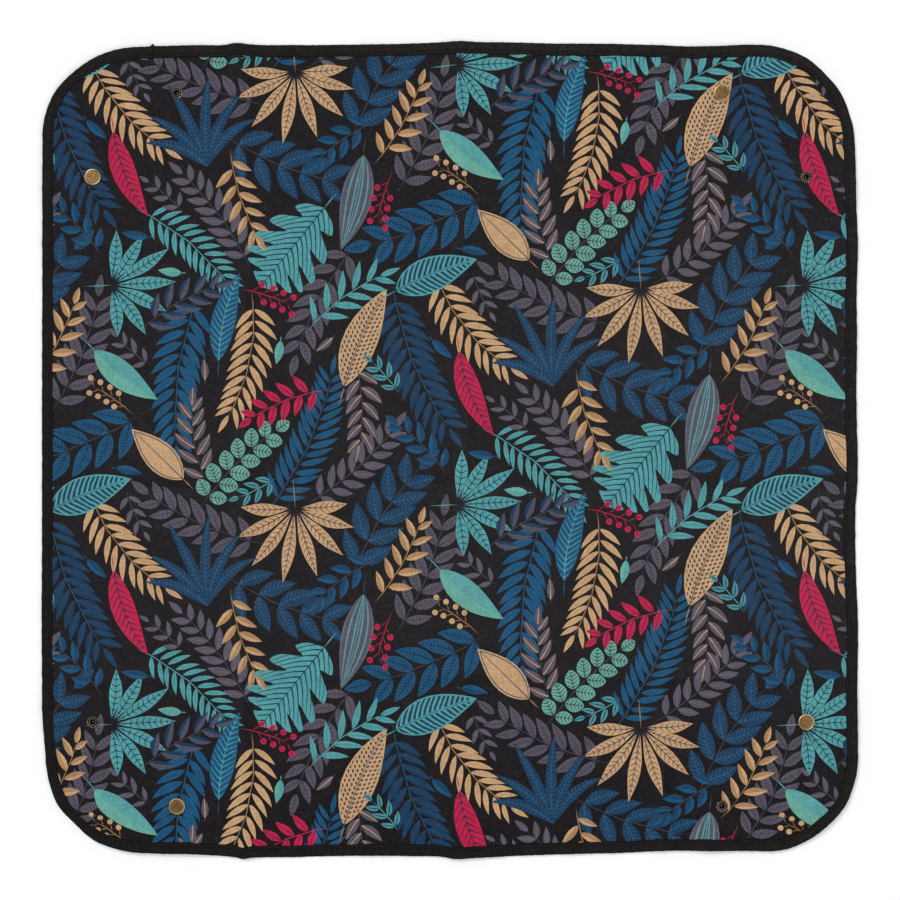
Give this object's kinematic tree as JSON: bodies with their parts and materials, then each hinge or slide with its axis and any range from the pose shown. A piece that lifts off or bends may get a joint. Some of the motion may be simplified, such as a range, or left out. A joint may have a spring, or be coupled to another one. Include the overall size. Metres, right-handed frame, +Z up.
{
  "type": "repotting mat",
  "caption": "Square coated-cloth repotting mat with rounded, bound corners that pinch and snap shut to stand its edges up as a tray.",
  "frame": {"origin": "centre of the mat laid flat, at the level of its lowest point, the mouths of the snap sockets", "axes": "+Z up out of the printed side; +X and +Y along the sides of the mat, east and north in the names of the pieces"},
  "size_m": [0.75, 0.75, 0.0054],
  "materials": {
    "printed_cloth": "water-resistant woven cloth, dark ground printed with leaves, satin sheen",
    "binding_tape": "black woven tape folded over the edge, matt",
    "snap_brass": "antique brass, brushed",
    "snap_gunmetal": "gunmetal plating, satin",
    "spring_steel": "bright spring wire"
  },
  "bodies": {
    "base": {"cloth_base": "printed_cloth"},
    "north_wall": {"cloth_north_wall": "printed_cloth", "binding_north_wall": "binding_tape"},
    "north_gusset_east": {"cloth_north_gusset_east": "printed_cloth", "binding_north_gusset_east": "binding_tape", "cap_northeast": "snap_brass", "socket_northeast": "snap_brass", "spring_northeast": "spring_steel"},
    "north_gusset_west": {"cloth_north_gusset_west": "printed_cloth", "binding_north_gusset_west": "binding_tape", "stud_northwest": "snap_gunmetal", "eyelet_northwest": "snap_gunmetal"},
    "east_wall": {"cloth_east_wall": "printed_cloth", "binding_east_wall": "binding_tape"},
    "east_gusset_south": {"cloth_east_gusset_south": "printed_cloth", "binding_east_gusset_south": "binding_tape", "cap_southeast": "snap_brass", "socket_southeast": "snap_brass", "spring_southeast": "spring_steel"},
    "east_gusset_north": {"cloth_east_gusset_north": "printed_cloth", "binding_east_gusset_north": "binding_tape", "stud_northeast": "snap_gunmetal", "eyelet_northeast": "snap_gunmetal"},
    "south_wall": {"cloth_south_wall": "printed_cloth", "binding_south_wall": "binding_tape"},
    "south_gusset_west": {"cloth_south_gusset_west": "printed_cloth", "binding_south_gusset_west": "binding_tape", "cap_southwest": "snap_brass", "socket_southwest": "snap_brass", "spring_southwest": "spring_steel"},
    "south_gusset_east": {"cloth_south_gusset_east": "printed_cloth", "binding_south_gusset_east": "binding_tape", "stud_southeast": "snap_gunmetal", "eyelet_southeast": "snap_gunmetal"},
    "west_wall": {"cloth_west_wall": "printed_cloth", "binding_west_wall": "binding_tape"},
    "west_gusset_north": {"cloth_west_gusset_north": "printed_cloth", "binding_west_gusset_north": "binding_tape", "cap_northwest": "snap_brass", "socket_northwest": "snap_brass", "spring_northwest": "spring_steel"},
    "west_gusset_south": {"cloth_west_gusset_south": "printed_cloth", "binding_west_gusset_south": "binding_tape", "stud_southwest": "snap_gunmetal", "eyelet_southwest": "snap_gunmetal"}
  },
  "joints": [
    {"name": "north_wall_fold", "type": "hinge", "parent": "base", "child": "north_wall", "pos_m": [0, 0.242, 0.00355], "axis": [1, 0, 0], "range_deg": [-90, 90]},
    {"name": "north_gusset_east_fold", "type": "hinge", "parent": "north_wall", "child": "north_gusset_east", "pos_m": [0.2385, 0.242, 0.00355], "axis": [0, -1, 0], "range_deg": [-45, 45]},
    {"name": "north_gusset_west_fold", "type": "hinge", "parent": "north_wall", "child": "north_gusset_west", "pos_m": [-0.2385, 0.242, 0.00355], "axis": [0, 1, 0], "range_deg": [-45, 45]},
    {"name": "east_wall_fold", "type": "hinge", "parent": "base", "child": "east_wall", "pos_m": [0.242, 0, 0.00355], "axis": [0, -1, 0], "range_deg": [-90, 90]},
    {"name": "east_gusset_south_fold", "type": "hinge", "parent": "east_wall", "child": "east_gusset_south", "pos_m": [0.242, -0.2385, 0.00355], "axis": [-1, 0, 0], "range_deg": [-45, 45]},
    {"name": "east_gusset_north_fold", "type": "hinge", "parent": "east_wall", "child": "east_gusset_north", "pos_m": [0.242, 0.2385, 0.00355], "axis": [1, 0, 0], "range_deg": [-45, 45]},
    {"name": "south_wall_fold", "type": "hinge", "parent": "base", "child": "south_wall", "pos_m": [0, -0.242, 0.00355], "axis": [-1, 0, 0], "range_deg": [-90, 90]},
    {"name": "south_gusset_west_fold", "type": "hinge", "parent": "south_wall", "child": "south_gusset_west", "pos_m": [-0.2385, -0.242, 0.00355], "axis": [0, 1, 0], "range_deg": [-45, 45]},
    {"name": "south_gusset_east_fold", "type": "hinge", "parent": "south_wall", "child": "south_gusset_east", "pos_m": [0.2385, -0.242, 0.00355], "axis": [0, -1, 0], "range_deg": [-45, 45]},
    {"name": "west_wall_fold", "type": "hinge", "parent": "base", "child": "west_wall", "pos_m": [-0.242, 0, 0.00355], "axis": [0, 1, 0], "range_deg": [-90, 90]},
    {"name": "west_gusset_north_fold", "type": "hinge", "parent": "west_wall", "child": "west_gusset_north", "pos_m": [-0.242, 0.2385, 0.00355], "axis": [1, 0, 0], "range_deg": [-45, 45]},
    {"name": "west_gusset_south_fold", "type": "hinge", "parent": "west_wall", "child": "west_gusset_south", "pos_m": [-0.242, -0.2385, 0.00355], "axis": [-1, 0, 0], "range_deg": [-45, 45]}
  ],
  "couplings": [
    {"joint": "north_gusset_east_fold", "follows": "north_wall_fold", "ratio": -0.5},
    {"joint": "north_gusset_west_fold", "follows": "north_wall_fold", "ratio": -0.5},
    {"joint": "east_gusset_south_fold", "follows": "north_wall_fold", "ratio": -0.5},
    {"joint": "east_gusset_north_fold", "follows": "north_wall_fold", "ratio": -0.5},
    {"joint": "east_wall_fold", "follows": "north_wall_fold", "ratio": 1},
    {"joint": "south_gusset_west_fold", "follows": "north_wall_fold", "ratio": -0.5},
    {"joint": "south_gusset_east_fold", "follows": "north_wall_fold", "ratio": -0.5},
    {"joint": "south_wall_fold", "follows": "north_wall_fold", "ratio": 1},
    {"joint": "west_gusset_north_fold", "follows": "north_wall_fold", "ratio": -0.5},
    {"joint": "west_gusset_south_fold", "follows": "north_wall_fold", "ratio": -0.5},
    {"joint": "west_wall_fold", "follows": "north_wall_fold", "ratio": 1}
  ]
}
